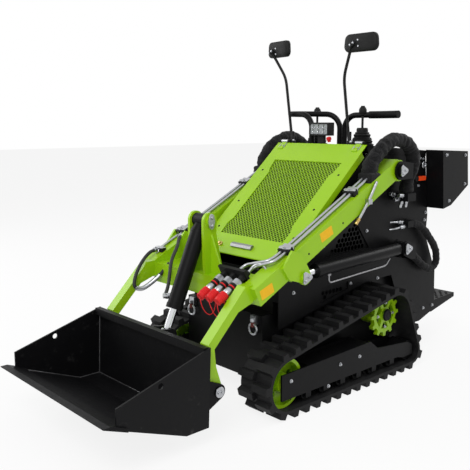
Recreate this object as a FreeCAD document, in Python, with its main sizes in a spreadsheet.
import FreeCAD, Part
import math
import os
import re

import Sketcher

os.makedirs("parts", exist_ok=True)
doc = FreeCAD.newDocument("mini_skid_steer")
sheet = doc.addObject("Spreadsheet::Sheet", "Sheet")
Vector = FreeCAD.Vector

# Frame of the machine: the bucket points to -Y, +X is the machine's left, the ground is z = 0.
# Columns: alias, value or formula, meaning. Lengths in millimetres, angles in degrees.
SIZES = (
    ("track_outer", 450, "half width over the tracks"),
    ("track_width", 180, "width of one belt"),
    ("track_inner", "=track_outer - track_width", "inner edge of the belt"),
    ("belt_thickness", 14, "belt without its lugs"),
    ("lug_depth", 24, "depth of one lug"),
    ("lug_count", 35, "lugs in one row"),
    ("lug_length", 36, "foot of one lug along the belt"),
    ("lug_slope", 6, "slope at each end of a lug"),
    ("wheel_reach", 112, "inner radius of the belt round idler and sprocket"),
    ("tail_reach", 52, "inner radius of the belt round the rear roller"),
    ("belt_gap", 0.3, "room between a wheel and the belt"),
    ("run_floor", "=belt_thickness + lug_depth", "inner face of the ground run"),
    ("idler_y", -352, "idler axle"),
    ("idler_z", "=wheel_reach + run_floor", "idler axle height"),
    ("sprocket_y", 414, "sprocket axle"),
    ("sprocket_z", 302, "sprocket axle height"),
    ("tail_y", 567, "rear roller axle"),
    ("tail_z", "=tail_reach + run_floor", "rear roller axle height"),
    ("idler_width", 84, "width of the idler"),
    ("sprocket_plate", 22, "thickness of the sprocket"),
    ("roller_reach", 33, "radius of a ground roller"),
    ("roller_width", 96, "width of a ground roller"),
    ("roller_axle", 9, "radius of a ground roller's axle"),
    ("idler_axle", 18, "radius of the idler's axle"),
    ("tail_axle", 12, "radius of the rear roller's axle"),
    ("frame_inset", 22, "track frame inside the belt's outer edge"),
    ("frame_width", 124, "track frame over both plates"),
    ("frame_outer", "=track_outer - frame_inset", "outer face of the track frame"),
    ("frame_inner", "=frame_outer - frame_width", "inner face of the track frame"),
    ("frame_plate", 8, "plate of the track frame"),
    ("wheel_middle", "=(frame_outer + frame_inner) / 2", "middle plane of sprocket, idler and rollers"),
    ("frame_top", 196, "top of the track frame at its front end"),
    ("frame_top_rear", 212, "top of the track frame at its rear step"),
    ("frame_bottom", 80, "bottom edge of the outer frame plate"),
    ("frame_front", -386, "front edge of the outer frame plate"),
    ("frame_step", 262, "rear step of the outer frame plate"),
    ("track_room", 8, "room between the tub and a track"),
    ("tub_half", "=track_inner - track_room", "half width of the tub between the tracks"),
    ("tub_plate", 8, "plate of the tub"),
    ("tub_floor", 108, "ground clearance under the tub"),
    ("tub_front", -342, "front plate of the tub"),
    ("tub_shelf", 415, "top of the front plate"),
    ("nose_back", -276, "upper front wall under the hood"),
    ("tub_top", 470, "top edge of the tub"),
    ("tub_rear", 836, "rear wall of the tub"),
    ("tub_tail", 190, "bottom of the rear wall"),
    ("tub_break", 700, "rear end of the flat floor"),
    ("engine_width", 320, "engine with its pumps"),
    ("engine_length", 440, "engine with its pumps"),
    ("engine_height", 320, "engine with its pumps"),
    ("engine_front", -20, "front of the engine"),
    ("hood_half", 298, "half width of the hood"),
    ("hood_reach", 2, "hood beyond a side panel"),
    ("panel_outer", "=hood_half - hood_reach", "outer face of a side panel"),
    ("panel_plate", 6, "thickness of a side panel"),
    ("hood_top_y", 325, "upper edge of the hood"),
    ("hood_top_z", 1152, "upper edge of the hood"),
    ("hood_foot_y", -256, "lower edge of the hood"),
    ("hood_foot_z", 642, "lower edge of the hood"),
    ("hood_sheet", 3, "sheet of the hood"),
    ("hood_flange", 34, "side flange of the hood"),
    ("grille_sheet", 2, "pierced sheet behind the hood's window"),
    ("grille_rim", 12, "pierced sheet beyond its window"),
    ("grille_pitch", 46, "holes of the hood's grille, across"),
    ("grille_rise", 42, "holes of the hood's grille, up the hood"),
    ("grille_hole", 36, "width of one diamond hole"),
    ("mesh_sheet", 2, "pierced sheet behind a side panel's window"),
    ("mesh_pitch", 26, "holes of the side mesh"),
    ("mesh_hole", 12, "outer radius of one six-sided hole"),
    ("hinge_gap", 8, "joint between hood and deck"),
    ("hinge_rise", 9, "axis of the hood's hinge over its upper edge"),
    ("hinge_back", 4, "axis of the hood's hinge behind its upper edge"),
    ("hinge_pin", 4, "radius of the hood's hinge pin"),
    ("hinge_knuckle", 8, "radius of the hood's hinge knuckles"),
    ("deck_rear_y", 846, "rear edge of the deck"),
    ("deck_rear_z", 1112, "rear edge of the deck"),
    ("deck_depth", 30, "depth of the deck's folded edge"),
    ("deck_sheet", 5, "sheet of the deck"),
    ("box_width", 104, "width of a side box"),
    ("box_outer", "=panel_outer + box_width", "outer face of a side box"),
    ("arm_room", 22, "room between the hood and a loader arm"),
    ("arm_width", 80, "width of a loader arm"),
    ("leg_width", 50, "width of an arm's leg"),
    ("arm_inner", "=hood_half + arm_room", "inner face of a loader arm"),
    ("arm_outer", "=arm_inner + arm_width", "outer face of a loader arm"),
    ("leg_outer", "=arm_inner + leg_width", "outer face of an arm's leg"),
    ("pivot_y", 457, "arm pivot"),
    ("pivot_z", 1027, "arm pivot"),
    ("pivot_pin", 18, "radius of the arm pivot pin"),
    ("pivot_boss", 52, "radius of the boss round the arm pivot"),
    ("knee_y", -524, "knee of the arm's upper face"),
    ("knee_z", 590, "knee of the arm's upper face"),
    ("pin_play", 0.06, "radial play of a pin in its bore"),
    ("seat_gap", 0.3, "room between a soft piece and its seat"),
    ("side_play", 5, "room beside a moving piece"),
    ("tower_plate", 10, "outer plate at the arm pivot"),
    ("tower_head", 46, "radius of the outer plate round the pivot pin"),
    ("tower_web", 34, "rear web of the arm's tower"),
    ("base_head", 40, "radius of a lift base plate round its pin"),
    ("base_plate", 8, "plate of the lift base"),
    ("lug_pin_y", -230, "pin of the lift rod on the arm"),
    ("lug_pin_z", 599, "pin of the lift rod on the arm"),
    ("lug_plate", 12, "plate of the arm's lug"),
    ("lift_base_y", 557, "rear pin of the lift cylinder"),
    ("lift_base_z", 626, "rear pin of the lift cylinder"),
    ("lift_middle", "=(arm_inner + lug_plate + arm_outer) / 2", "middle plane of the lift cylinder"),
    ("lift_barrel", 30, "radius of the lift barrel"),
    ("lift_tube", 674, "front end of the lift barrel from its pin"),
    ("lift_rod", 16, "radius of the lift rod"),
    ("lift_eye", 30, "radius of the eyes of the lift cylinder"),
    ("lift_pin", 15, "radius of the pins of the lift cylinder"),
    ("eye_width", 40, "width of the eyes of the lift cylinder"),
    ("foot_pin_y", -702, "pin between arm and bucket"),
    ("foot_pin_z", 200, "pin between arm and bucket"),
    ("foot_boss", 32, "radius of the arm's foot"),
    ("foot_pin", 15, "radius of the pin in the arm's foot"),
    ("ear_pin_y", -466, "upper pin of the tilt cylinder"),
    ("ear_pin_z", 829, "upper pin of the tilt cylinder"),
    ("ear_inner", 41, "inner face of a bracket ear"),
    ("ear_plate", 14, "thickness of a bracket ear"),
    ("ear_boss", 38, "radius of the head of a bracket ear"),
    ("ear_rib", 80, "foot of the rib beside a bracket ear"),
    ("tilt_pin", 14, "radius of the pins of the tilt cylinder"),
    ("tilt_barrel", 36, "radius of the tilt barrel"),
    ("tilt_rod", 18, "radius of the tilt rod"),
    ("tilt_eye_y", -676, "lower eye of the tilt cylinder"),
    ("tilt_eye_z", 345, "lower eye of the tilt cylinder"),
    ("tilt_eye", 25, "radius of the lower eye"),
    ("tilt_lug", 12, "thickness of a lug on the hitch"),
    ("tilt_lug_inner", 27, "inner face of a lug on the hitch"),
    ("beam_front", -500, "front face of the cross beam"),
    ("beam_rear", -330, "rear face of the cross beam"),
    ("beam_low", 500, "underside of the cross beam at the front"),
    ("beam_high", 592, "top of the cross beam at the front"),
    ("bucket_wing", 6, "bucket beyond an arm"),
    ("bucket_half", "=arm_outer + bucket_wing", "half width over the bucket's sides"),
    ("bucket_side", 8, "side plate of the bucket"),
    ("bucket_plate", 6, "back and floor of the bucket"),
    ("bucket_rear", -761, "upper rear edge of the bucket"),
    ("bucket_high", 401, "upper rear edge of the bucket"),
    ("bucket_heel", -773, "lower rear edge of the bucket"),
    ("bucket_low", 78, "flat of the bucket's floor"),
    ("bucket_bend", -884, "front end of the flat"),
    ("bucket_sheet_end", -1150, "front edge of the floor sheet"),
    ("bucket_sheet_z", 181.7, "front edge of the floor sheet"),
    ("bucket_side_front", -1192, "front edge of a side plate"),
    ("bucket_side_top", 277, "front corner of a side plate"),
    ("edge_tip", -1252, "tip of the cutting edge"),
    ("edge_reach", 10, "cutting edge beyond a side plate"),
    ("edge_half", "=bucket_half + edge_reach", "half length of the cutting edge"),
    ("edge_plate", 15, "thickness of the cutting edge"),
    ("edge_bevel", 30, "bevel of the cutting edge"),
    ("side_hole", 12, "radius of the holes in the bucket's sides"),
    ("side_hole_y", -1000, "holes in the bucket's sides"),
    ("side_hole_z", 309, "holes in the bucket's sides"),
    ("hitch_plate", 10, "plate of the hitch"),
    ("hitch_inset", 18, "hitch plate inside the bucket's side"),
    ("hitch_half", "=bucket_half - hitch_inset", "half width of the hitch plate"),
    ("hitch_top", 290, "upper edge of the hitch plate"),
    ("hitch_low", 104, "lower edge of the hitch plate"),
    ("hitch_mast", 64, "half width of the middle of the hitch"),
    ("hitch_mast_top", 392, "top of the middle of the hitch"),
    ("hitch_lug", 10, "lug of the hitch beside an arm"),
    ("step_hinge_y", 984, "hinge of the platform"),
    ("step_hinge_z", 229, "hinge of the platform"),
    ("step_tip", 1252, "rear edge of the platform"),
    ("step_tip_z", 258, "rear edge of the platform"),
    ("step_room", 14, "room beside the platform"),
    ("step_half", "=panel_outer - panel_plate - step_room", "half width of the platform"),
    ("step_sheet", 4, "sheet of the platform"),
    ("step_pin", 9, "radius of the platform's hinge pins"),
    ("sleeve_radius", 34, "hose sleeve over the arm pivot"),
    ("sleeve_across", 40, "sleeve and its cuff outside the arm's inner face"),
    ("cuff_y", 270, "foot of the sleeve on the arm"),
    ("port_y", 594, "rear end of the sleeve over its port block"),
    ("port_top", 905, "top of the port block"),
    ("port_depth", 40, "depth of the port block"),
    ("low_port_z", 735, "low port behind the arm"),
    ("low_hose", 17, "hose sleeve from the low port to the lift cylinder"),
    ("pipe_radius", 7, "steel pipe on an arm"),
    ("bar_radius", 15, "handlebar tube"),
    ("bar_z", 1299, "height of the near handlebar"),
    ("knob_z", 1326, "height of a joystick's knob"),
    ("grip_radius", 19, "grip on the handlebar"),
)

for row, (alias, value, meaning) in enumerate(SIZES, start=1):
    sheet.set("A%d" % row, alias)
    sheet.set("B%d" % row, str(value))
    sheet.set("C%d" % row, meaning)
    sheet.setAlias("B%d" % row, alias)
doc.recompute()

ALIASES = {alias for alias, value, meaning in SIZES}
SIDES = (("left", 1), ("right", -1))
pieces = []


def size(alias):
    return float(sheet.get(alias))


def cells(expression):
    """Write the aliases of an expression the way the document refers to its sheet."""
    return re.sub(r"[a-z_]+", lambda word: "Sheet." + word[0] if word[0] in ALIASES else word[0], expression)


def bind(thing, target, expression):
    thing.setExpression(target, cells(str(expression)))


def place(thing, x="0", y="0", z="0"):
    for axis, expression in (("x", x), ("y", y), ("z", z)):
        bind(thing, "Placement.Base." + axis, expression)
    return thing


def start_of(side, inner, width):
    """Low x of a piece that starts at inner and is width wide, on either side."""
    if side > 0:
        return inner
    return "0 - (%s) - (%s)" % (inner, width)


def new_sketch(body, role):
    sketch = body.newObject("Sketcher::SketchObject", "Outline")
    plane = [feature for feature in body.Origin.OriginFeatures if feature.Role == role][0]
    sketch.AttachmentSupport = [(plane, "")]
    sketch.MapMode = "FlatFace"
    return sketch


def fix_point(sketch, geometry, point, across, up):
    for kind, expression in (("DistanceX", across), ("DistanceY", up)):
        index = sketch.addConstraint(Sketcher.Constraint(kind, -1, 1, geometry, point, 1.0))
        bind(sketch, "Constraints[%d]" % index, expression)


def draw(sketch, corners):
    """Closed polygon whose corners are pairs of expressions."""
    count = len(corners)
    ring = [Vector(math.cos(2 * math.pi * i / count), math.sin(2 * math.pi * i / count), 0) for i in range(count)]
    first = sketch.GeometryCount
    for i in range(count):
        sketch.addGeometry(Part.LineSegment(ring[i], ring[(i + 1) % count]))
    for i, (across, up) in enumerate(corners):
        sketch.addConstraint(Sketcher.Constraint("Coincident", first + i, 2, first + (i + 1) % count, 1))
        fix_point(sketch, first + i, 1, across, up)


def drill(sketch, across, up, radius):
    index = sketch.addGeometry(Part.Circle(Vector(0, 0, 0), Vector(0, 0, 1), 1))
    limit = sketch.addConstraint(Sketcher.Constraint("Radius", index, 1))
    bind(sketch, "Constraints[%d]" % limit, radius)
    fix_point(sketch, index, 3, across, up)


def plate(name, corners, thickness, x="0", y="0", z="0", role="YZ_Plane", holes=()):
    """Flat piece: outline in a main plane, padded along the plane's normal."""
    body = doc.addObject("PartDesign::Body", name)
    sketch = new_sketch(body, role)
    draw(sketch, corners)
    for across, up, radius in holes:
        drill(sketch, across, up, radius)
    pad = body.newObject("PartDesign::Pad", "Pad")
    pad.Profile = sketch
    bind(pad, "Length", thickness)
    body.Tip = pad
    return place(body, x, y, z)


def turned(name, profile, start=None, toward=None, x="0", y="0", z="0"):
    """Turned piece: profile of pairs along, radius. Its axis is +X, or points from start toward a point."""
    body = doc.addObject("PartDesign::Body", name)
    sketch = new_sketch(body, "XY_Plane")
    draw(sketch, profile)
    turn = body.newObject("PartDesign::Revolution", "Turn")
    turn.Profile = sketch
    turn.ReferenceAxis = (sketch, ["H_Axis"])
    turn.Angle = 360
    body.Tip = turn
    if start is None:
        return place(body, x, y, z)
    direction = toward.sub(start)
    body.Placement = FreeCAD.Placement(start, FreeCAD.Rotation(Vector(1, 0, 0), direction))
    return body


def round_bar(name, length, radius, x="0", y="0", z="0", direction=(1, 0, 0)):
    bar = doc.addObject("Part::Cylinder", name)
    bind(bar, "Radius", radius)
    bind(bar, "Height", length)
    bar.Placement.Rotation = FreeCAD.Rotation(Vector(0, 0, 1), Vector(*direction))
    return place(bar, x, y, z)


def block(name, length, width, height, x="0", y="0", z="0"):
    box = doc.addObject("Part::Box", name)
    for target, expression in (("Length", length), ("Width", width), ("Height", height)):
        bind(box, target, expression)
    return place(box, x, y, z)


def fused(name, parts):
    union = doc.addObject("Part::MultiFuse", name)
    union.Shapes = parts
    return union


def cut(name, base, tool):
    rest = doc.addObject("Part::Cut", name)
    rest.Base = base
    rest.Tool = tool
    return rest


def group(name, parts):
    """Like pieces that do not touch, kept under one name."""
    kept = doc.addObject("Part::Compound", name)
    kept.Links = parts
    return kept


def shaped(name, shape):
    made = doc.addObject("Part::Feature", name)
    made.Shape = shape
    return made


def keep(label, thing):
    thing.Label = label
    pieces.append((label, thing))
    return thing


def point(x, y, z):
    return Vector(x, y, z)


def bent_wire(points, share=0.45):
    """Straight runs joined by tangent arcs, each arc as large as its two runs allow."""
    edges = []
    last = points[0]
    for before, corner, after in zip(points, points[1:], points[2:]):
        back = before.sub(corner).normalize()
        ahead = after.sub(corner).normalize()
        reach = share * min(before.distanceToPoint(corner), after.distanceToPoint(corner))
        half = back.getAngle(ahead) / 2
        bow = back.add(ahead).normalize()
        radius = reach * math.tan(half)
        middle = corner.add(bow * (radius / math.sin(half) - radius))
        enter = corner.add(back * reach)
        leave = corner.add(ahead * reach)
        edges.append(Part.LineSegment(last, enter).toShape())
        edges.append(Part.Arc(enter, middle, leave).toShape())
        last = leave
    edges.append(Part.LineSegment(last, points[-1]).toShape())
    return Part.Wire(edges)


def tube_shape(points, radius):
    path = bent_wire(points)
    direction = points[1].sub(points[0])
    ring = Part.Wire([Part.Circle(points[0], direction, radius).toShape()])
    return path.makePipeShell([ring], True, False)


def tube(name, points, radius):
    return shaped(name, tube_shape([point(*p) for p in points], radius))


def mirrored(points, side):
    return [(side * x, y, z) for x, y, z in points]


def spread(outline, margin):
    """Outline moved outward from its middle by a margin."""
    middle_u = sum(u for u, v in outline) / len(outline)
    middle_v = sum(v for u, v in outline) / len(outline)
    moved = []
    for u, v in outline:
        reach = math.hypot(u - middle_u, v - middle_v)
        moved.append((u + (u - middle_u) * margin / reach, v + (v - middle_v) * margin / reach))
    return moved


def lies_inside(spot, outline):
    """True where a ray from the spot crosses the outline an odd number of times."""
    odd = False
    for (u0, v0), (u1, v1) in zip(outline, outline[1:] + outline[:1]):
        if (v0 > spot[1]) != (v1 > spot[1]) and spot[0] < u0 + (spot[1] - v0) * (u1 - u0) / (v1 - v0):
            odd = not odd
    return odd


def hole_middles(window, pitch, rise, reach):
    """Middles of staggered holes that keep their whole reach inside a window."""
    low_u, high_u = min(u for u, v in window), max(u for u, v in window)
    low_v, high_v = min(v for u, v in window), max(v for u, v in window)
    middle = (low_u + high_u) / 2
    columns = int((high_u - low_u) / pitch / 2) + 1
    kept = []
    for row in range(int((high_v - low_v) / rise * 2) + 1):
        for column in range(-columns, columns + 1):
            u = middle + (column + 0.5 * (row % 2)) * pitch
            v = low_v + rise * row / 2
            rim = [(u + a * reach, v + b * reach) for a, b in ((1, 0), (-1, 0), (0, 1), (0, -1))]
            if all(lies_inside(spot, window) for spot in rim):
                kept.append((u, v))
    return kept


def sheet_between(rings, start, across, up, normal, thickness):
    """Flat sheet: the first ring is its rim and each other ring a hole through it."""
    wires = []
    for ring in rings:
        spots = [start.add(across * u).add(up * v) for u, v in ring]
        wires.append(Part.makePolygon(spots + spots[:1]))
    face = Part.makeFace(wires, "Part::FaceMakerBullseye")
    return face.extrude(normal * thickness)


# Track: one loop round idler, sprocket and rear roller, with two rows of staggered lugs.
WHEELS = (
    (size("idler_y"), size("idler_z"), size("wheel_reach")),
    (size("sprocket_y"), size("sprocket_z"), size("wheel_reach")),
    (size("tail_y"), size("tail_z"), size("tail_reach")),
)


def run_normal(a, b):
    """Outward normal of the straight run from wheel a to wheel b, as an angle."""
    along = math.atan2(b[1] - a[1], b[0] - a[0])
    lean = math.acos((a[2] - b[2]) / math.hypot(b[0] - a[0], b[1] - a[1]))
    return along + lean


def loop_spans():
    """Columns: kind, length, wheel, first normal, turn. Straight runs and arcs in turn."""
    spans = []
    for i in range(3):
        before, here, after = WHEELS[i - 1], WHEELS[i], WHEELS[(i + 1) % 3]
        enter = run_normal(before, here)
        leave = run_normal(here, after)
        turn = (enter - leave) % (2 * math.pi)
        spans.append(("arc", here[2] * turn, here, enter, turn))
        gap = math.hypot(after[0] - here[0], after[1] - here[1])
        spans.append(("run", math.sqrt(gap ** 2 - (here[2] - after[2]) ** 2), here, leave, 0))
    return spans


SPANS = loop_spans()
LOOP = sum(span[1] for span in SPANS)


def loop_point(distance, offset):
    """Point of the loop at a distance along it, and offset outward from the belt's inner face."""
    rest = distance % LOOP
    for kind, length, wheel, normal, turn in SPANS:
        if rest <= length:
            break
        rest -= length
    ahead = 0
    if kind == "arc":
        normal -= turn * rest / length
    else:
        ahead = rest
    reach = wheel[2] + offset
    across = wheel[0] + reach * math.cos(normal) + ahead * math.sin(normal)
    up = wheel[1] + reach * math.sin(normal) - ahead * math.cos(normal)
    return kind, across, up


def row_outline(phase):
    """Outer outline of one row of lugs."""
    pitch = LOOP / size("lug_count")
    root = size("belt_thickness")
    tip = root + size("lug_depth")
    foot = size("lug_length") / 2
    crest = foot - size("lug_slope")
    corners = []
    for index in range(int(size("lug_count"))):
        middle = (index + phase) * pitch
        for ahead, offset, always in (
            (-foot, root, True),
            (-crest, tip, True),
            (crest, tip, True),
            (foot, root, True),
            (pitch / 2, root, False),
        ):
            kind, across, up = loop_point(middle + ahead, offset)
            if always or kind == "arc":
                corners.append((across, up))
    return corners


def belt_inside():
    edges = []
    for kind, length, wheel, normal, turn in SPANS:
        def at(angle, ahead=0):
            return Vector(0, wheel[0] + wheel[2] * math.cos(angle) + ahead * math.sin(angle),
                          wheel[1] + wheel[2] * math.sin(angle) - ahead * math.cos(angle))
        if kind == "arc":
            edges.append(Part.Arc(at(normal), at(normal - turn / 2), at(normal - turn)).toShape())
        else:
            edges.append(Part.LineSegment(at(normal), at(normal, length)).toShape())
    return Part.Wire(Part.__sortEdges__(edges))


def belt_shape(start, width):
    rows = []
    for low, high, phase in ((0, 0.5, 0), (0.5, 1, 0.5)):
        ring = [Vector(0, across, up) for across, up in row_outline(phase)]
        face = Part.makeFace([Part.makePolygon(ring + ring[:1]), belt_inside()], "Part::FaceMakerBullseye")
        row = face.extrude(Vector((high - low) * width, 0, 0))
        row.translate(Vector(start + low * width, 0, 0))
        rows.append(row)
    return rows[0].fuse(rows[1])


def sprocket_shape(teeth, root, tip, thickness, spokes):
    """Toothed plate with a window between each pair of spokes."""
    corners = []
    for index in range(teeth):
        middle = 2 * math.pi * index / teeth
        step = math.pi / teeth
        for angle, reach in ((-0.52, root), (-0.26, tip), (0.26, tip), (0.52, root)):
            corners.append(Vector(0, reach * math.cos(middle + angle * step), reach * math.sin(middle + angle * step)))
    disc = Part.Face(Part.makePolygon(corners + corners[:1])).extrude(Vector(thickness, 0, 0))
    windows = []
    for index in range(spokes):
        middle = 2 * math.pi * (index + 0.5) / spokes
        window = []
        for angle, reach in ((-0.3, 0.44), (-0.4, 0.82), (0.4, 0.82), (0.3, 0.44)):
            window.append(Vector(-1, reach * root * math.cos(middle + angle), reach * root * math.sin(middle + angle)))
        windows.append(Part.Face(Part.makePolygon(window + window[:1])).extrude(Vector(thickness + 2, 0, 0)))
    return disc.cut(windows)


ROLLER_PLACES = ("-215", "-95", "25", "145", "265", "415")

for side_name, side in SIDES:
    track_start = size("track_inner") if side > 0 else -size("track_outer")
    keep("track_" + side_name, shaped("track", belt_shape(track_start, size("track_width"))))

    wheel_plate = sprocket_shape(12, size("wheel_reach") - 20, size("wheel_reach") - size("belt_gap"),
                                 size("sprocket_plate"), 6)
    wheel = shaped("sprocket_plate", wheel_plate)
    place(wheel, start_of(side, "wheel_middle - sprocket_plate / 2", "sprocket_plate"), "sprocket_y", "sprocket_z")
    hub = round_bar("sprocket_hub", "sprocket_plate + 20", 26,
                    start_of(side, "wheel_middle - sprocket_plate / 2 - 10", "sprocket_plate + 20"),
                    "sprocket_y", "sprocket_z")
    motor = round_bar("drive_motor", "wheel_middle - sprocket_plate / 2 - 10 - tub_half", 58,
                      start_of(side, "tub_half", "wheel_middle - sprocket_plate / 2 - 10 - tub_half"),
                      "sprocket_y", "sprocket_z")
    keep("drive_sprocket_" + side_name, fused("sprocket", [wheel, hub, motor]))

    rim = "wheel_reach - belt_gap"
    idler = turned("idler_turn", (
        ("0", "idler_axle + belt_gap"), ("idler_width", "idler_axle + belt_gap"), ("idler_width", "40"), ("idler_width * 0.58", "44"),
        ("idler_width * 0.58", rim + " - 18"), ("idler_width", rim + " - 14"), ("idler_width", rim),
        ("idler_width * 0.62", rim), ("idler_width * 0.58", rim + " - 8"), ("idler_width * 0.42", rim + " - 8"),
        ("idler_width * 0.38", rim), ("0", rim), ("0", rim + " - 14"), ("idler_width * 0.42", rim + " - 18"),
        ("idler_width * 0.42", "44"), ("0", "40"),
    ), x=start_of(side, "wheel_middle - idler_width / 2", "idler_width"), y="idler_y", z="idler_z")
    openings = [
        round_bar("idler_opening", "idler_width", 17,
                  start_of(side, "wheel_middle - idler_width / 2", "idler_width"),
                  "idler_y + %.3f" % (68 * math.cos(math.radians(angle))),
                  "idler_z + %.3f" % (68 * math.sin(math.radians(angle))))
        for angle in range(18, 360, 72)
    ]
    keep("idler_" + side_name, cut("idler", idler, group("idler_openings", openings)))

    rollers = []
    for place_y in ROLLER_PLACES:
        rollers.append(turned("roller", (
            ("0", "roller_axle + belt_gap"), ("roller_width", "roller_axle + belt_gap"),
            ("roller_width", "roller_reach"), ("roller_width * 0.7", "roller_reach"),
            ("roller_width * 0.64", "roller_reach - 9"), ("roller_width * 0.36", "roller_reach - 9"),
            ("roller_width * 0.3", "roller_reach"), ("0", "roller_reach"),
        ), x=start_of(side, "wheel_middle - roller_width / 2", "roller_width"), y=place_y,
            z="run_floor + roller_reach + belt_gap"))
    rollers.append(turned("tail_roller", (
        ("0", "tail_axle + belt_gap"), ("roller_width", "tail_axle + belt_gap"),
        ("roller_width", "tail_reach - belt_gap"), ("0", "tail_reach - belt_gap"),
    ), x=start_of(side, "wheel_middle - roller_width / 2", "roller_width"), y="tail_y", z="tail_z"))
    keep("rollers_" + side_name, group("rollers", rollers))

    # Track frame: a channel over the rollers, a fork for the idler, and an arm to the rear roller.
    rear_arm_top = "tail_z + 52"
    outer_corners = (
        ("frame_front", "frame_bottom"), ("frame_front", "frame_top"), ("frame_step - 30", "frame_top_rear"),
        ("frame_step + 30", "frame_top_rear - 46"), ("tail_y - 20", rear_arm_top), ("tail_y + 26", "tail_z + 30"),
        ("tail_y + 26", "tail_z - 22"), ("tail_y - 60", "tail_z - 22"), ("tail_y - 110", "frame_bottom"),
    )
    frame_parts = []
    for inner in ("frame_outer - frame_plate", "frame_inner"):
        frame_parts.append(plate("frame_side", outer_corners, "frame_plate", start_of(side, inner, "frame_plate")))
    frame_parts.append(plate("frame_cover", (
        ("frame_front + 180", "frame_top - 8"), ("frame_front + 180", "frame_top + 2"),
        ("frame_step - 40", "frame_top_rear - 2"), ("frame_step - 40", "frame_top_rear - 12"),
    ), "frame_outer - frame_inner - 2 * frame_plate",
        start_of(side, "frame_inner + frame_plate", "frame_outer - frame_inner - 2 * frame_plate")))
    axles = [(roller_y, "run_floor + roller_reach + belt_gap", "roller_axle") for roller_y in ROLLER_PLACES]
    axles += [("idler_y", "idler_z", "idler_axle"), ("tail_y", "tail_z", "tail_axle")]
    for axle_y, axle_z, radius in axles:
        frame_parts.append(round_bar("axle", "frame_outer - frame_inner", radius,
                                     start_of(side, "frame_inner", "frame_outer - frame_inner"), axle_y, axle_z))
    for hanger_y in ROLLER_PLACES:
        for inner in ("frame_outer - frame_plate", "frame_inner"):
            frame_parts.append(block("axle_hanger", "frame_plate", 34, "frame_bottom - run_floor - roller_reach + 24",
                                     start_of(side, inner, "frame_plate"), hanger_y + " - 17",
                                     "run_floor + roller_reach - 16"))
    for carrier_y in ("-120", "180"):
        frame_parts.append(block("frame_carrier", "frame_inner - tub_half", 60, 60,
                                 start_of(side, "tub_half", "frame_inner - tub_half"), carrier_y, "frame_top - 80"))
    keep("track_frame_" + side_name, fused("track_frame", frame_parts))

# Tub: welded box between the tracks, open at the top.
tub_outer = plate("tub_outer", (
    ("tub_front", "tub_floor"), ("tub_front", "tub_shelf"), ("nose_back", "tub_shelf"), ("nose_back", "tub_top"),
    ("tub_rear", "tub_top"), ("tub_rear", "tub_tail"), ("tub_break", "tub_floor"),
), "2 * tub_half", "0 - tub_half")
tub_room = plate("tub_room", (
    ("tub_front + tub_plate", "tub_floor + tub_plate"), ("tub_front + tub_plate", "tub_shelf - tub_plate"),
    ("nose_back + tub_plate", "tub_shelf - tub_plate"), ("nose_back + tub_plate", "tub_top + 1"),
    ("tub_rear - tub_plate", "tub_top + 1"), ("tub_rear - tub_plate", "tub_tail + tub_plate / 2"),
    ("tub_break - tub_plate / 3", "tub_floor + tub_plate"),
), "2 * tub_half - 2 * tub_plate", "tub_plate - tub_half")
keep("chassis_tub", cut("tub", tub_outer, tub_room))

keep("engine_block", block("engine", "engine_width", "engine_length", "engine_height", "0 - engine_width / 2",
                           "engine_front", "tub_floor + tub_plate"))

keep("front_panel", block("front_wall", "2 * (panel_outer - panel_plate)", 8,
                          "hood_foot_z - 44 - tub_top", "panel_plate - panel_outer", "nose_back", "tub_top"))

deck_fall = "(hood_top_z - 2 - deck_rear_z) / (deck_rear_y - hood_top_y - hinge_gap)"


def deck_face(y, depth):
    """Height of the deck's upper face at y, less a depth."""
    return "hood_top_z - 2 - %s * (%s - hood_top_y - hinge_gap) - (%s)" % (deck_fall, y, depth)


panel_corners = (
    ("nose_back", "tub_shelf - 70"), ("nose_back", "hood_foot_z - 74"), ("hood_foot_y + 29", "hood_foot_z - 34"),
    ("hood_top_y + 21", deck_face("hood_top_y + 21", "deck_depth + seat_gap")),
    ("deck_rear_y", deck_face("deck_rear_y", "deck_depth + seat_gap")),
    ("deck_rear_y + 45", "deck_rear_z - 353"), ("deck_rear_y + 35", "649"), ("step_hinge_y + 8", "432"),
    ("step_hinge_y + 13", "317"), ("step_hinge_y + 20", "step_hinge_z - 20"), ("855", "164"), ("706", "168"),
    ("680", "230"), ("600", "410"), ("572", "tub_top"), ("380", "tub_top"),
)
# Windows of a side panel, over and under the lift cylinder. Columns: y, z.
MESH_WINDOWS = (
    ((40, 632), (146, 722), (262, 782), (372, 640)),
    ((8, 416), (8, 492), (212, 492), (212, 456)),
)
HEXAGON = [(math.cos(math.radians(angle)), math.sin(math.radians(angle))) for angle in range(30, 390, 60)]

for side_name, side in SIDES:
    panel = plate("side_sheet", panel_corners, "panel_plate",
                  start_of(side, "panel_outer - panel_plate", "panel_plate"),
                  holes=(("step_hinge_y", "step_hinge_z", "step_pin + pin_play"),))
    back = Vector(side * (size("panel_outer") - size("panel_plate")), 0, 0)
    windows = []
    meshes = []
    for window in MESH_WINDOWS:
        opening = sheet_between([list(window)], Vector(side * (size("panel_outer") + 1), 0, 0), Vector(0, 1, 0),
                                Vector(0, 0, 1), Vector(-side, 0, 0), size("panel_plate") + 2)
        windows.append(shaped("panel_window", opening))
        middles = hole_middles(list(window), size("mesh_pitch"), size("mesh_pitch") * math.sqrt(3),
                               size("mesh_hole"))
        holes = [[(u + size("mesh_hole") * a, v + size("mesh_hole") * b) for a, b in HEXAGON] for u, v in middles]
        meshes.append(shaped("mesh", sheet_between([spread(window, size("grille_rim"))] + holes, back,
                                                   Vector(0, 1, 0), Vector(0, 0, 1), Vector(-side, 0, 0),
                                                   size("mesh_sheet"))))
    keep("side_panel_" + side_name, cut("side_panel", panel, group("panel_windows", windows)))
    keep("side_mesh_" + side_name, group("side_mesh", meshes))

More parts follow.
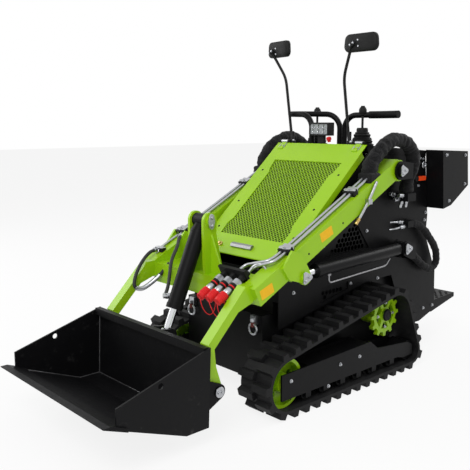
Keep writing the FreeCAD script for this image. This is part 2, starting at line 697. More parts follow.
HINGES = ("-250", "250")
hinge_y = "hood_top_y + hinge_back"
hinge_z = "hood_top_z + hinge_rise"
deck_parts = [plate("deck_plate", (
    ("hood_top_y + hinge_gap", "hood_top_z - 2 - deck_depth"), ("hood_top_y + hinge_gap", "hood_top_z - 2"),
    ("deck_rear_y", "deck_rear_z"), ("deck_rear_y", "deck_rear_z - deck_depth"),
    ("deck_rear_y - deck_sheet", deck_face("deck_rear_y - deck_sheet", "deck_depth")),
    ("deck_rear_y - deck_sheet", deck_face("deck_rear_y - deck_sheet", "deck_sheet")),
    ("hood_top_y + hinge_gap + deck_sheet", deck_face("hood_top_y + hinge_gap + deck_sheet", "deck_sheet")),
    ("hood_top_y + hinge_gap + deck_sheet", deck_face("hood_top_y + hinge_gap + deck_sheet", "deck_depth")),
), "2 * hood_half", "0 - hood_half")]
for side_name, side in SIDES:
    deck_parts.append(plate("deck_side", (
        ("hood_top_y + hinge_gap", "hood_top_z - 2 - deck_depth"), ("hood_top_y + hinge_gap", "hood_top_z - 2"),
        ("deck_rear_y", "deck_rear_z"), ("deck_rear_y", "deck_rear_z - deck_depth"),
    ), "hood_half - panel_outer + panel_plate", start_of(side, "panel_outer - panel_plate",
                                                         "hood_half - panel_outer + panel_plate")))
for hinge_x in HINGES:
    deck_parts.append(round_bar("hinge_pin", 74, "hinge_pin", hinge_x + " - 37", hinge_y, hinge_z))
    for knuckle_x in (hinge_x + " - 37", hinge_x + " + 17"):
        deck_parts.append(round_bar("hinge_knuckle", 20, "hinge_knuckle", knuckle_x, hinge_y, hinge_z))
        deck_parts.append(plate("hinge_leaf", (
            (hinge_y + " + 4", hinge_z + " + 2"), (hinge_y + " + 46", deck_face("hood_top_y + 50", "0 - 4")),
            (hinge_y + " + 46", deck_face("hood_top_y + 50", "2")), (hinge_y + " + 4", deck_face(hinge_y + " + 4", "2")),
        ), 20, knuckle_x))
keep("deck", fused("deck_solid", deck_parts))

keep("rear_panel", block("rear_wall", "2 * (panel_outer - panel_plate)", "panel_plate",
                         "deck_rear_z - deck_depth - tub_top", "panel_plate - panel_outer",
                         "tub_rear - panel_plate", "tub_top"))

# Outboard of each side panel: arm pivot tower, lift cylinder base and side box.
web_y = "pivot_y + pivot_boss + 12"
for side_name, side in SIDES:
    reach = "arm_outer + side_play + tower_plate"
    tower = [
        plate("tower_neck", (
            ("pivot_y + 6", "pivot_z + tower_head - 1"), (web_y + " + tower_web", "pivot_z + 34"),
            (web_y + " + tower_web", "pivot_z - 42"), ("pivot_y + 6", "pivot_z - tower_head + 1"),
        ), "tower_plate", start_of(side, "arm_outer + side_play", "tower_plate")),
        round_bar("tower_head", "tower_plate", "tower_head",
                  start_of(side, "arm_outer + side_play", "tower_plate"), "pivot_y", "pivot_z"),
        block("tower_web", reach + " - panel_outer", "tower_web", 76,
              start_of(side, "panel_outer", reach + " - panel_outer"), web_y, "pivot_z - 42"),
        round_bar("pivot_pin", reach + " - panel_outer", "pivot_pin",
                  start_of(side, "panel_outer", reach + " - panel_outer"), "pivot_y", "pivot_z"),
        round_bar("pivot_cap", 12, 34, start_of(side, reach, "12"), "pivot_y", "pivot_z"),
        round_bar("pivot_washer", "arm_inner - side_play - panel_outer", 40,
                  start_of(side, "panel_outer", "arm_inner - side_play - panel_outer"), "pivot_y", "pivot_z"),
    ]
    tower_solid = fused("tower", tower)
    base_inner = "lift_middle - eye_width / 2 - 4"
    base_outer = "lift_middle + eye_width / 2 + 4"
    base_corners = (
        ("lift_base_y - 20", "lift_base_z + base_head - 6"), ("lift_base_y + 10", "lift_base_z + base_head - 2"),
        ("lift_base_y + 78", "lift_base_z + 12"), ("lift_base_y + 78", "lift_base_z - 62"),
        ("lift_base_y + 42", "lift_base_z - 62"), ("lift_base_y - 20", "lift_base_z - base_head + 6"),
    )
    base = [
        block("base_web", base_outer + " + base_plate - panel_outer", 36, 74,
              start_of(side, "panel_outer", base_outer + " + base_plate - panel_outer"), "lift_base_y + 42",
              "lift_base_z - 62"),
        round_bar("base_pin", "eye_width + 8 + 2 * base_plate", "lift_pin",
                  start_of(side, base_inner + " - base_plate", "eye_width + 8 + 2 * base_plate"),
                  "lift_base_y", "lift_base_z"),
        round_bar("base_cap", 8, 28, start_of(side, base_outer + " + base_plate", "8"), "lift_base_y", "lift_base_z"),
    ]
    for plate_x in (base_outer, base_inner + " - base_plate"):
        base.append(plate("base_plate", base_corners, "base_plate", start_of(side, plate_x, "base_plate")))
        base.append(round_bar("base_head", "base_plate", "base_head", start_of(side, plate_x, "base_plate"),
                              "lift_base_y", "lift_base_z"))
    keep("arm_tower_" + side_name, group("arm_tower", [tower_solid, fused("lift_base", base)]))
    keep("side_box_" + side_name, plate("side_box", (
        ("deck_rear_y + 2", "1116"), ("1102", "1105"), ("1123", "917"), ("954", "818"), ("878", "803"),
    ), "box_outer - panel_outer", start_of(side, "panel_outer", "box_outer - panel_outer")))

# Hood: one folded sheet with side flanges and a lip at its foot.
slope = math.atan2(size("hood_top_z") - size("hood_foot_z"), size("hood_top_y") - size("hood_foot_y"))
down_y = math.sin(slope)
down_z = -math.cos(slope)


hood_length = math.hypot(size("hood_top_z") - size("hood_foot_z"), size("hood_top_y") - size("hood_foot_y"))


def on_hood(along, depth):
    """Point at a distance up the hood from its foot, and at a depth under its outer face."""
    along = str(along).replace("hood_length", "%.4f" % hood_length)
    return (
        "hood_foot_y + %.12f * (%s) + %.12f * (%s)" % (math.cos(slope), along, down_y, depth),
        "hood_foot_z + %.12f * (%s) + %.12f * (%s)" % (math.sin(slope), along, down_z, depth),
    )


def below(y, z, depth):
    """Point at a depth under the hood's outer face."""
    return ("%s + %.12f * (%s)" % (y, down_y, depth), "%s + %.12f * (%s)" % (z, down_z, depth))


foot = ("hood_foot_y", "hood_foot_z")
top = ("hood_top_y", "hood_top_z")
flange_top = ("hood_top_y - 40", "hood_top_z - %.4f" % (40 * math.tan(slope)))
hood_parts = [
    plate("hood_skin", (foot, top, below(*top, "hood_sheet"), below(*foot, "hood_sheet")),
          "2 * hood_half", "0 - hood_half"),
    plate("hood_lip", (foot, below(*foot, "hood_sheet"), ("hood_foot_y + 26", "hood_foot_z - 2.2"),
                       ("hood_foot_y + 26", "hood_foot_z - 5"), ("hood_foot_y", "hood_foot_z - 5")),
          "2 * hood_half", "0 - hood_half"),
]
for side_name, side in SIDES:
    hood_parts.append(plate("hood_side", (foot, flange_top, below(*flange_top, "hood_flange"),
                                          below(*foot, "hood_flange - 6")),
                            "hood_sheet", start_of(side, "hood_half - hood_sheet", "hood_sheet")))
for hinge_x in HINGES:
    hood_parts.append(round_bar("hood_knuckle", 30, "hinge_knuckle", hinge_x + " - 15", hinge_y, hinge_z))
    hood_parts.append(plate("hood_leaf", (
        (hinge_y, hinge_z), on_hood("hood_length - 50", "0 - 4"), on_hood("hood_length - 50", "1"),
        on_hood("hood_length - 1", "1"),
    ), 30, hinge_x + " - 15"))
hinge_bores = [round_bar("hinge_bore", 32, "hinge_pin + pin_play", hinge_x + " - 16", hinge_y, hinge_z)
               for hinge_x in HINGES]

# Window of the hood: narrower in its middle. Columns: half width, distance up the hood.
HOOD_WINDOW = ((226, 642), (216, 575), (203, 552), (203, 214), (218, 182), (214, 115))
window = [(half, along) for half, along in HOOD_WINDOW] + [(-half, along) for half, along in HOOD_WINDOW[::-1]]
hood_foot = Vector(0, size("hood_foot_y"), size("hood_foot_z"))
up_hood = Vector(0, math.cos(slope), math.sin(slope))
into_hood = Vector(0, down_y, down_z)
opening = sheet_between([window], hood_foot.sub(into_hood), Vector(1, 0, 0), up_hood, into_hood,
                        size("hood_sheet") + 2)
hood_cuts = group("hood_cuts", hinge_bores + [shaped("hood_window", opening)])
keep("hood", cut("hood", fused("hood_solid", hood_parts), hood_cuts))

DIAMOND = ((1, 0), (0, 0.86), (-1, 0), (0, -0.86))
rim = size("grille_rim")
grille_edge = [(half + (rim if half > 0 else -rim), along) for half, along in window]
diamonds = []
for u, v in hole_middles(window, size("grille_pitch"), size("grille_rise"), size("grille_hole") / 2):
    diamonds.append([(u + a * size("grille_hole") / 2, v + b * size("grille_hole") / 2) for a, b in DIAMOND])
keep("hood_grille", shaped("grille", sheet_between(
    [grille_edge] + diamonds, hood_foot.add(into_hood * size("hood_sheet")), Vector(1, 0, 0), up_hood, into_hood,
    size("grille_sheet"))))
keep("hood_latch", plate("latch", (
    on_hood("38", "0"), on_hood("38", "0 - 10"), on_hood("50", "0 - 16"), on_hood("64", "0 - 10"), on_hood("64", "0"),
), 140, "-73"))

# Loader arms: box arm with its boss, leg and lug; both arms are joined by the cross beam.
arm_corners = (
    ("pivot_y - 17", "pivot_z + 55"), ("knee_y", "knee_z"), ("-486", "514"), ("pivot_y - 17", "pivot_z - 42"),
)
leg_corners = (
    ("-480", "602"), ("-545", "600"), ("-744", "397"), ("-744", "330"), ("foot_pin_y - 32", "foot_pin_z"),
    ("foot_pin_y + 32", "foot_pin_z"), ("-704", "300"), ("-712", "374"), ("-585", "501"), ("-500", "530"),
)
lug_corners = (
    ("-370", "655"), ("-313", "726"), ("-255", "706"), ("-200", "620"), ("lug_pin_y + 10", "lug_pin_z - 34"),
    ("lug_pin_y - 60", "lug_pin_z - 10"), ("-330", "600"),
)
for side_name, side in SIDES:
    arm_parts = [
        plate("arm_box", arm_corners, "arm_width", start_of(side, "arm_inner", "arm_width")),
        round_bar("arm_boss", "arm_width", "pivot_boss", start_of(side, "arm_inner", "arm_width"),
                  "pivot_y", "pivot_z"),
        plate("arm_leg", leg_corners, "leg_width",
              start_of(side, "arm_inner", "leg_width")),
        round_bar("foot_boss", "leg_width", "foot_boss",
                  start_of(side, "arm_inner", "leg_width"), "foot_pin_y", "foot_pin_z"),
    ]
    for inner in ("arm_outer", "arm_inner"):
        arm_parts.append(plate("arm_lug", lug_corners, "lug_plate", start_of(side, inner, "lug_plate")))
        arm_parts.append(round_bar("lug_boss", "lug_plate", 34, start_of(side, inner, "lug_plate"),
                                   "lug_pin_y", "lug_pin_z"))
    arm_parts.append(round_bar("lug_pin_head", 10, 26, start_of(side, "arm_outer + lug_plate", "10"),
                               "lug_pin_y", "lug_pin_z"))
    bores = [
        round_bar("pivot_bore", "arm_width + 2", "pivot_pin + pin_play",
                  start_of(side, "arm_inner - 1", "arm_width + 2"), "pivot_y", "pivot_z"),
        round_bar("foot_bore", "leg_width + 2", "foot_pin + pin_play",
                  start_of(side, "arm_inner - 1", "leg_width + 2"), "foot_pin_y", "foot_pin_z"),
    ]
    keep("arm_" + side_name, cut("arm", fused("arm_solid", arm_parts), group("arm_bores", bores)))

keep("arm_crossbeam", plate("beam", (
    ("beam_front", "beam_low"), ("beam_front", "beam_high"), ("beam_rear", "beam_high"),
    ("beam_rear", "beam_low + 20"),
), "2 * arm_inner", "0 - arm_inner"))

ear_corners = (
    ("beam_front + 2", "beam_high"), ("ear_pin_y - ear_boss", "ear_pin_z - 60"), ("ear_pin_y - ear_boss", "ear_pin_z"),
    ("ear_pin_y + ear_boss", "ear_pin_z"), ("ear_pin_y + ear_boss - 2", "ear_pin_z - 60"), ("beam_rear - 60", "beam_high"),
)
bracket = []
for side_name, side in SIDES:
    bracket.append(plate("ear", ear_corners, "ear_plate", start_of(side, "ear_inner", "ear_plate")))
    bracket.append(round_bar("ear_head", "ear_plate", "ear_boss", start_of(side, "ear_inner", "ear_plate"),
                             "ear_pin_y", "ear_pin_z"))
    bracket.append(round_bar("ear_cap", 8, 24, start_of(side, "ear_inner + ear_plate", "8"), "ear_pin_y", "ear_pin_z"))
    outer = "ear_inner + ear_plate"
    rib = ((outer, "beam_high"), (outer, "ear_pin_z - 62"), (outer + " + ear_rib", "beam_high"))
    if side < 0:
        rib = tuple(("0 - (%s)" % across, up) for across, up in rib)
    bracket.append(plate("ear_rib", rib, 10, y="-452", role="XZ_Plane"))
bracket.append(round_bar("ear_pin", "2 * ear_inner + 2", "tilt_pin", "0 - ear_inner - 1", "ear_pin_y", "ear_pin_z"))
keep("tilt_bracket", fused("bracket", bracket))

COUPLERS = (185, 240, 295)
coupler_start = Vector(0, size("beam_front") + 16, size("beam_high") + 30)
coupler_aim = Vector(0, -0.87, -0.49).normalize()
coupler_up = Vector(0, coupler_aim.z, -coupler_aim.y)
bulkhead = []
for ahead, lift in ((6, 34), (-8, 34), (-8, None), (6, None)):
    corner = coupler_start.add(coupler_aim * ahead)
    drop = (size("beam_high") - corner.z) / coupler_up.z
    corner = corner.add(coupler_up * (drop if lift is None else lift))
    bulkhead.append(("%.6f" % corner.y, "%.6f" % corner.z))
couplers = [plate("coupler_plate", bulkhead, "arm_inner - 154", "152")]
caps = []
for coupler_x in COUPLERS:
    start = Vector(coupler_x, coupler_start.y, coupler_start.z)
    toward = start.add(coupler_aim)
    couplers.append(turned("coupler", (
        ("-26", "0"), ("-26", "13"), ("52", "13"), ("52", "18"), ("92", "18"), ("92", "15"), ("122", "15"), ("122", "0"),
    ), start, toward))
    caps.append(turned("coupler_cap", (
        ("122", "0"), ("122", "20"), ("160", "19"), ("170", "13"), ("170", "0"),
    ), start, toward))
keep("couplers", fused("couplers", couplers))
keep("coupler_caps", group("coupler_caps", caps))


rise = (size("pivot_z") + 55 - size("knee_z")) / (size("pivot_y") - 17 - size("knee_y"))


def arm_top(y, above):
    """Height over the arm's upper face."""
    return size("knee_z") + (y - size("knee_y")) * rise + above


PIPES = (26, 52)
PIPE_ENDS = (COUPLERS[1], COUPLERS[2])
arm_inner = size("arm_inner")
cuff_y = size("cuff_y")
cuff_half = size("sleeve_radius")
cuff_top = arm_top(cuff_y + cuff_half, 6)
sleeve_x = arm_inner + size("sleeve_across")
ports = []
for side_name, side in SIDES:
    pipe_parts = []
    for offset, end_x in zip(PIPES, PIPE_ENDS):
        pipe_x = arm_inner + offset
        route = [(pipe_x, 150, arm_top(150, 16)), (pipe_x, cuff_y - 20, arm_top(cuff_y - 20, 18))]
        if side > 0:
            start = coupler_start.add(coupler_aim * -26)
            rear = coupler_start.add(coupler_aim * -66)
            route = [(end_x, start.y, start.z), (end_x, rear.y, rear.z), (pipe_x, -392, arm_top(-392, 26)),
                     (pipe_x, -345, arm_top(-345, 16))] + route
        else:
            route = [(pipe_x, -318, arm_top(-318, 16))] + route
        pipe_parts.append(tube("arm_pipe", mirrored(route, side), size("pipe_radius")))
    for clamp_y in (-310, 120):
        low = arm_top(clamp_y, 0)
        pipe_parts.append(plate("pipe_clamp", (
            ("%d" % clamp_y, "%.6f" % low), ("%d" % clamp_y, "%.6f" % (low + 30)),
            ("%d" % (clamp_y + 30), "%.6f" % (low + 30 + 30 * rise)), ("%d" % (clamp_y + 30), "%.6f" % (low + 30 * rise)),
        ), 54, start_of(side, "arm_inner + lug_plate + 1", "54")))
    pipe_parts.append(plate("sleeve_cuff", (
        ("cuff_y - sleeve_radius", "%.6f" % arm_top(cuff_y - cuff_half, 0)),
        ("cuff_y - sleeve_radius", "%.6f" % cuff_top), ("cuff_y + sleeve_radius", "%.6f" % cuff_top),
        ("cuff_y + sleeve_radius", "%.6f" % arm_top(cuff_y + cuff_half, 0)),
    ), "2 * sleeve_radius", start_of(side, "arm_inner + sleeve_across - sleeve_radius", "2 * sleeve_radius")))
    outer_x = size("arm_outer") + size("pipe_radius") + 2
    pipe_parts.append(tube("outer_pipe", mirrored([
        (outer_x, cuff_y - 8, arm_top(cuff_y - 8, -8)), (outer_x, 204, 897), (outer_x, 138, 822),
    ], side), size("pipe_radius")))
    pipe_parts.append(block("outer_clamp", 20, 30, 24, start_of(side, "arm_outer", "20"), 190, 882))
    keep("arm_pipes_" + side_name, fused("pipes", pipe_parts))

    sleeve_foot = cuff_top + size("seat_gap")
    port_y = size("port_y")
    port_top = size("port_top") + size("seat_gap")
    sleeve_points = [
        (sleeve_x, cuff_y, sleeve_foot), (sleeve_x, cuff_y, sleeve_foot + 38), (sleeve_x + 6, 318, 1112),
        (sleeve_x + 6, 400, 1168), (sleeve_x + 6, 500, 1182), (sleeve_x + 6, 600, 1140), (sleeve_x + 4, 642, 1055),
        (sleeve_x - 8, port_y, port_top + 76), (sleeve_x - 8, port_y, port_top),
    ]
    keep("hose_sleeve_" + side_name, tube("sleeve", mirrored(sleeve_points, side), size("sleeve_radius")))
    ports.append(block("port_block", "arm_inner + sleeve_across + 28 - panel_outer", 72, "port_depth",
                       start_of(side, "panel_outer", "arm_inner + sleeve_across + 28 - panel_outer"),
                       "port_y - 36", "port_top - port_depth"))
    ports.append(block("port_block_low", 46, 50, 34, start_of(side, "panel_outer", "46"), 640,
                       "low_port_z - low_hose"))
    hose_x = size("panel_outer") + 26
    low_z = size("low_port_z")
    hose_points = [
        (hose_x, 690 + size("seat_gap"), low_z), (hose_x, 736, low_z), (hose_x + 6, 806, 696),
        (hose_x + 10, 866, 640), (hose_x + 12, 922, 580), (hose_x + 12, 948, 515), (hose_x + 10, 918, 466),
        (hose_x + 6, 858, 468), (hose_x + 2, 794, 506), (hose_x - 2, 734, 558), (hose_x - 4, 682, 590),
        (hose_x - 4, size("lift_base_y") + 78 + size("seat_gap"), 590),
    ]
    keep("lift_hose_" + side_name, tube("lift_hose", mirrored(hose_points, side), size("low_hose")))

keep("hose_ports", group("ports", ports))

# Lift cylinders: barrel on its base pin, rod reaching to the arm's lug.
lift_base = Vector(0, size("lift_base_y"), size("lift_base_z"))
lift_head = Vector(0, size("lug_pin_y"), size("lug_pin_z"))
lift_rest = lift_head.distanceToPoint(lift_base)
for side_name, side in SIDES:
    middle = side * size("lift_middle")
    base_point = Vector(middle, lift_base.y, lift_base.z)
    head_point = Vector(middle, lift_head.y, lift_head.z)
    barrel = turned("lift_tube", (
        ("20", "0"), ("20", "18"), ("44", "18"), ("44", "lift_barrel"), ("lift_tube - 26", "lift_barrel"),
        ("lift_tube - 26", "lift_barrel + 3"), ("lift_tube", "lift_barrel + 3"),
        ("lift_tube", "lift_rod + pin_play"), ("150", "lift_rod + pin_play"), ("150", "0"),
    ), base_point, head_point)
    eye = round_bar("lift_eye", "eye_width", "lift_eye + 2", start_of(side, "lift_middle - eye_width / 2", "eye_width"),
                    "lift_base_y", "lift_base_z")
    bore = round_bar("lift_eye_bore", "eye_width + 2", "lift_pin + pin_play",
                     start_of(side, "lift_middle - eye_width / 2 - 1", "eye_width + 2"), "lift_base_y", "lift_base_z")
    keep("lift_barrel_" + side_name, cut("lift_barrel", fused("lift_barrel_solid", [barrel, eye]), bore))
    rod = turned("lift_rod_bar", (
        ("%.3f" % (lift_rest - 590), "0"), ("%.3f" % (lift_rest - 590), "lift_rod"),
        ("%.3f" % (lift_rest - 20), "lift_rod"), ("%.3f" % (lift_rest - 20), "0"),
    ), base_point, head_point)
    rod_eye = round_bar("rod_eye", "eye_width", "lift_eye", start_of(side, "lift_middle - eye_width / 2", "eye_width"),
                        "lug_pin_y", "lug_pin_z")
    rod_bore = round_bar("rod_eye_bore", "eye_width + 2", "lift_pin + pin_play",
                         start_of(side, "lift_middle - eye_width / 2 - 1", "eye_width + 2"), "lug_pin_y", "lug_pin_z")
    keep("lift_rod_" + side_name, cut("lift_rod", fused("lift_rod_solid", [rod, rod_eye]), rod_bore))

# Tilt cylinder: barrel hung between the ears, rod reaching to the hitch.
ear_point = Vector(0, size("ear_pin_y"), size("ear_pin_z"))
eye_point = Vector(0, size("tilt_eye_y"), size("tilt_eye_z"))
tilt_rest = ear_point.distanceToPoint(eye_point)
tilt_tube = turned("tilt_tube", (
    ("20", "0"), ("20", "26"), ("52", "tilt_barrel"), ("392", "tilt_barrel"), ("392", "tilt_barrel + 2"),
    ("414", "tilt_barrel + 2"), ("414", "tilt_rod + pin_play"), ("130", "tilt_rod + pin_play"), ("130", "0"),
), ear_point, eye_point)
tilt_eye_top = round_bar("tilt_eye_top", "2 * ear_inner - 8", "ear_boss - 8", "4 - ear_inner", "ear_pin_y", "ear_pin_z")
tilt_bore = round_bar("tilt_bore", "2 * ear_inner", "tilt_pin + pin_play", "0 - ear_inner", "ear_pin_y", "ear_pin_z")
keep("tilt_barrel", cut("tilt_barrel", fused("tilt_barrel_solid", [tilt_tube, tilt_eye_top]), tilt_bore))
tilt_bar = turned("tilt_rod_bar", (
    ("146", "0"), ("146", "tilt_rod"), ("%.3f" % (tilt_rest - 16), "tilt_rod"), ("%.3f" % (tilt_rest - 16), "0"),
), ear_point, eye_point)
tilt_eye_low = round_bar("tilt_eye_low", "2 * tilt_lug_inner - 10", "tilt_eye", "5 - tilt_lug_inner", "tilt_eye_y",
                         "tilt_eye_z")
tilt_low_bore = round_bar("tilt_low_bore", "2 * tilt_lug_inner", "tilt_pin + pin_play", "0 - tilt_lug_inner",
                          "tilt_eye_y", "tilt_eye_z")
keep("tilt_rod", cut("tilt_rod", fused("tilt_rod_solid", [tilt_bar, tilt_eye_low]), tilt_low_bore))

# Hitch: plate behind the bucket, lugs beside each arm foot and lugs for the tilt cylinder.
back_lean = "(bucket_heel - bucket_rear) / (bucket_high - bucket_low)"


def back_y(height, offset):
    """Rear face of the bucket at a height, moved rearward by an offset."""
    return "bucket_rear + %s * (bucket_high - (%s)) + %s" % (back_lean, height, offset)


hitch_parts = [
    plate("hitch_plate", (
        (back_y("hitch_low", "0"), "hitch_low"), (back_y("hitch_top", "0"), "hitch_top"),
        (back_y("hitch_top", "hitch_plate"), "hitch_top"), (back_y("hitch_low", "hitch_plate"), "hitch_low"),
    ), "2 * hitch_half", "0 - hitch_half"),
    plate("hitch_middle", (
        (back_y("hitch_top - 1", "0"), "hitch_top - 1"), (back_y("hitch_mast_top", "0"), "hitch_mast_top"),
        (back_y("hitch_mast_top", "hitch_plate"), "hitch_mast_top"), (back_y("hitch_top - 1", "hitch_plate"), "hitch_top - 1"),
    ), "2 * hitch_mast", "0 - hitch_mast"),
]
foot_lug = (
    (back_y("foot_pin_z + 62", "2"), "foot_pin_z + 62"), ("foot_pin_y + 14", "foot_pin_z + 29"),
    ("foot_pin_y + 14", "foot_pin_z - 29"), (back_y("foot_pin_z - 70", "2"), "foot_pin_z - 70"),
)
eye_lug = (
    (back_y("hitch_mast_top - 4", "2"), "hitch_mast_top - 4"), ("tilt_eye_y - 4", "tilt_eye_z + 30"),
    ("tilt_eye_y + 4", "tilt_eye_z - 30"), (back_y("hitch_top - 60", "2"), "hitch_top - 60"),
)
for side_name, side in SIDES:
    for inner in ("arm_inner - side_play - hitch_lug", "leg_outer + side_play"):
        hitch_parts.append(plate("foot_lug", foot_lug, "hitch_lug", start_of(side, inner, "hitch_lug")))
        hitch_parts.append(round_bar("foot_lug_head", "hitch_lug", "foot_boss", start_of(side, inner, "hitch_lug"),
                                     "foot_pin_y", "foot_pin_z"))
    pin_length = "leg_width + 2 * side_play + 2 * hitch_lug"
    hitch_parts.append(round_bar("foot_pin", pin_length, "foot_pin",
                                 start_of(side, "arm_inner - side_play - hitch_lug", pin_length),
                                 "foot_pin_y", "foot_pin_z"))
    hitch_parts.append(plate("eye_lug", eye_lug, "tilt_lug", start_of(side, "tilt_lug_inner", "tilt_lug")))
    hitch_parts.append(round_bar("eye_lug_head", "tilt_lug", 30, start_of(side, "tilt_lug_inner", "tilt_lug"),
                                 "tilt_eye_y", "tilt_eye_z"))
keep("hitch", fused("hitch", hitch_parts))

# Bucket: bent sheet, two sides and the cutting edge.
floor_slope = "(bucket_sheet_z - bucket_low) / (bucket_bend - bucket_sheet_end)"


def floor_z(y, above):
    """Height of the bucket's sloping floor under y, plus an offset."""
    return "bucket_low + %s * (bucket_bend - (%s)) + %s" % (floor_slope, y, above)


keep("bucket_shell", plate("bucket_sheet", (
    ("bucket_rear", "bucket_high"), ("bucket_heel", "bucket_low"), ("bucket_bend", "bucket_low"),
    ("bucket_sheet_end", "bucket_sheet_z"), ("bucket_sheet_end", "bucket_sheet_z + bucket_plate"),
    ("bucket_bend - 1", "bucket_low + bucket_plate"), ("bucket_heel - bucket_plate", "bucket_low + bucket_plate"),
    ("bucket_rear - bucket_plate - 1", "bucket_high - 32"), ("bucket_rear - 32", "bucket_high - 30"),
    ("bucket_rear - 30", "bucket_high + 2"),
), "2 * (bucket_half - bucket_side)", "bucket_side - bucket_half"))
side_corners = (
    ("bucket_rear", "bucket_high + 1"), ("bucket_heel", "bucket_low"), ("bucket_bend", "bucket_low"),
    ("bucket_sheet_end", "bucket_sheet_z"), ("bucket_sheet_end", floor_z("bucket_sheet_end", "edge_plate")),
    ("bucket_side_front", floor_z("bucket_side_front", "edge_plate")), ("bucket_side_front", "bucket_side_top"),
)
sides = [plate("bucket_side", side_corners, "bucket_side", start_of(side, "bucket_half - bucket_side", "bucket_side"),
               holes=(("side_hole_y", "side_hole_z", "side_hole"),)) for side_name, side in SIDES]
keep("bucket_sides", group("bucket_sides", sides))
keep("cutting_edge", plate("edge", (
    ("bucket_sheet_end", "bucket_sheet_z"), ("edge_tip", floor_z("edge_tip", "0")),
    ("edge_tip", floor_z("edge_tip", "3")), ("edge_tip + edge_bevel", floor_z("edge_tip + edge_bevel", "edge_plate")),
    ("bucket_sheet_end", floor_z("bucket_sheet_end", "edge_plate")),
), "2 * edge_half", "0 - edge_half"))

# Platform: perforated tray that folds up about its hinge, carried between the side panels.
tray = [
    plate("tray_top", (
        ("step_hinge_y + 12", "step_hinge_z + 16"), ("step_hinge_y + 12", "step_hinge_z + 16 + step_sheet"),
        ("step_tip", "step_tip_z"), ("step_tip", "step_tip_z - 24"), ("step_tip - step_sheet", "step_tip_z - 24"),
        ("step_tip - step_sheet", "step_tip_z - step_sheet"),
    ), "2 * step_half", "0 - step_half"),
]
for side_name, side in SIDES:
    tray.append(plate("tray_side", (
        ("step_hinge_y - 16", "step_hinge_z + 16"), ("step_hinge_y + 12", "step_hinge_z + 16 + step_sheet"),
        ("step_tip", "step_tip_z"), ("step_tip", "step_tip_z - 24"), ("step_hinge_y + 24", "step_hinge_z - 45"),
        ("step_hinge_y - 16", "step_hinge_z - 38"),
    ), "step_sheet", start_of(side, "step_half - step_sheet", "step_sheet")))
    tray.append(round_bar("step_pin", "panel_outer - step_half + step_sheet", "step_pin",
                          start_of(side, "step_half - step_sheet", "panel_outer - step_half + step_sheet"),
                          "step_hinge_y", "step_hinge_z"))
keep("platform", fused("platform", tray))

# Controls on the deck: each is cut off at the deck's upper face.
below_deck = plate("below_deck", (
    ("hood_top_y", deck_face("hood_top_y", "0")), ("deck_rear_y", deck_face("deck_rear_y", "0")),
    ("deck_rear_y", deck_face("deck_rear_y", "100")), ("hood_top_y", deck_face("hood_top_y", "100")),
), "2 * hood_half", "0 - hood_half")


def deck_z(y):
    """Height of the deck's upper face."""
    front_y = size("hood_top_y") + size("hinge_gap")
    front_z = size("hood_top_z") - 2
    return front_z + (y - front_y) * (size("deck_rear_z") - front_z) / (size("deck_rear_y") - front_y)


bar = size("bar_radius")
bar_z = size("bar_z")
near_bar = tube("near_bar", [(-14, 540, deck_z(540) - 6), (-14, 540, bar_z - 2), (150, 540, bar_z)], bar)
near_grip = tube("near_grip", [(150, 540, bar_z), (240, 541, bar_z), (326, 540, bar_z + 1)], size("grip_radius"))
far_bar = tube("far_bar", [
    (-62, 560, deck_z(560) - 6), (-62, 560, bar_z + 5), (-300, 466, bar_z + 9), (-300, 406, bar_z + 7),
    (-128, 406, bar_z + 3), (-128, 406, deck_z(406) - 8),
], bar)
keep("handlebars", cut("handlebars", fused("handlebar_tubes", [near_bar, near_grip, far_bar]), below_deck))

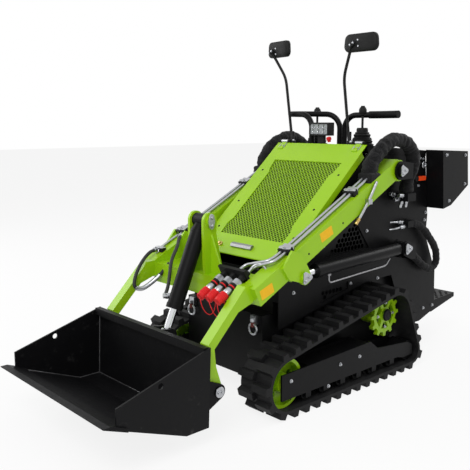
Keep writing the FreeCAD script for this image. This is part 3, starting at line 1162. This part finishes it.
sticks = []
for stick_x, stick_y in ((150, 480), (-222, 556)):
    base = deck_z(stick_y) - 6
    knob = size("knob_z") - base
    sticks.append(turned("joystick", (
        ("0", "0"), ("0", "54"), ("16", "56"), ("26", "45"), ("40", "51"), ("50", "40"), ("64", "44"), ("74", "31"),
        ("90", "27"), ("98", "6"), ("%.1f" % (knob - 34), "6"), ("%.1f" % (knob - 28), "15"),
        ("%.1f" % knob, "17"), ("%.1f" % (knob + 18), "9"), ("%.1f" % (knob + 18), "0"),
    ), Vector(stick_x, stick_y, base), Vector(stick_x, stick_y, base + 1)))
keep("joysticks", cut("joysticks", group("joystick_pair", sticks), below_deck))

mirror_y = 376
mirrors = []
for base_x, kink_x, kink_z, stem_x, stem_z, head_x, head_low in (
    (152, 105, 1485, 143, 1605, 205, 1602), (-240, -296, 1500, -377, 1611, -348, 1611),
):
    stem = tube("mirror_stem", [
        (base_x, mirror_y, deck_z(mirror_y) - 4), (kink_x, mirror_y, kink_z), (stem_x, mirror_y, stem_z),
        (stem_x, mirror_y, stem_z + 40),
    ], 6)
    head = block("mirror_head", 200, 22, 88, "%d" % (head_x - 100), mirror_y - 9, head_low)
    mirrors.append(fused("mirror", [stem, head]))
keep("mirrors", cut("mirrors", group("mirror_pair", mirrors), below_deck))

lamp = block("lamp_body", 132, 40, 68, "-107", 366, 1192)
lamp_foot = block("lamp_foot", 40, 20, "1194 - %.3f" % (deck_z(386) - 4), "-61", 376, "%.3f" % (deck_z(386) - 4))
keep("work_light", cut("work_light", fused("lamp", [lamp, lamp_foot]), below_deck))

rings = []
for ring_x in (-218, 218):
    loop = Part.makeTorus(24, 5, Vector(ring_x, size("tub_front") - 16, 350), Vector(0, 1, 0))
    rings.append(shaped("ring", loop))
    rings.append(block("ring_plate", 34, 16, 40, ring_x - 17, "tub_front - 16", 372))
keep("lashing_rings", fused("rings", rings))

doc.recompute()
for thing in doc.Objects:
    if "Invalid" in thing.State or "Error" in thing.State:
        raise RuntimeError("%s failed: %s" % (thing.Label, thing.State))
for label, thing in pieces:
    shape = thing.Shape
    if shape.isNull() or not shape.isValid():
        raise RuntimeError("bad shape: " + label)
for label, thing in pieces:
    thing.Shape.exportStep("parts/%s.step" % label)
box = Part.makeCompound([thing.Shape for label, thing in pieces]).BoundBox
print("nodes", len(pieces), "box", box)
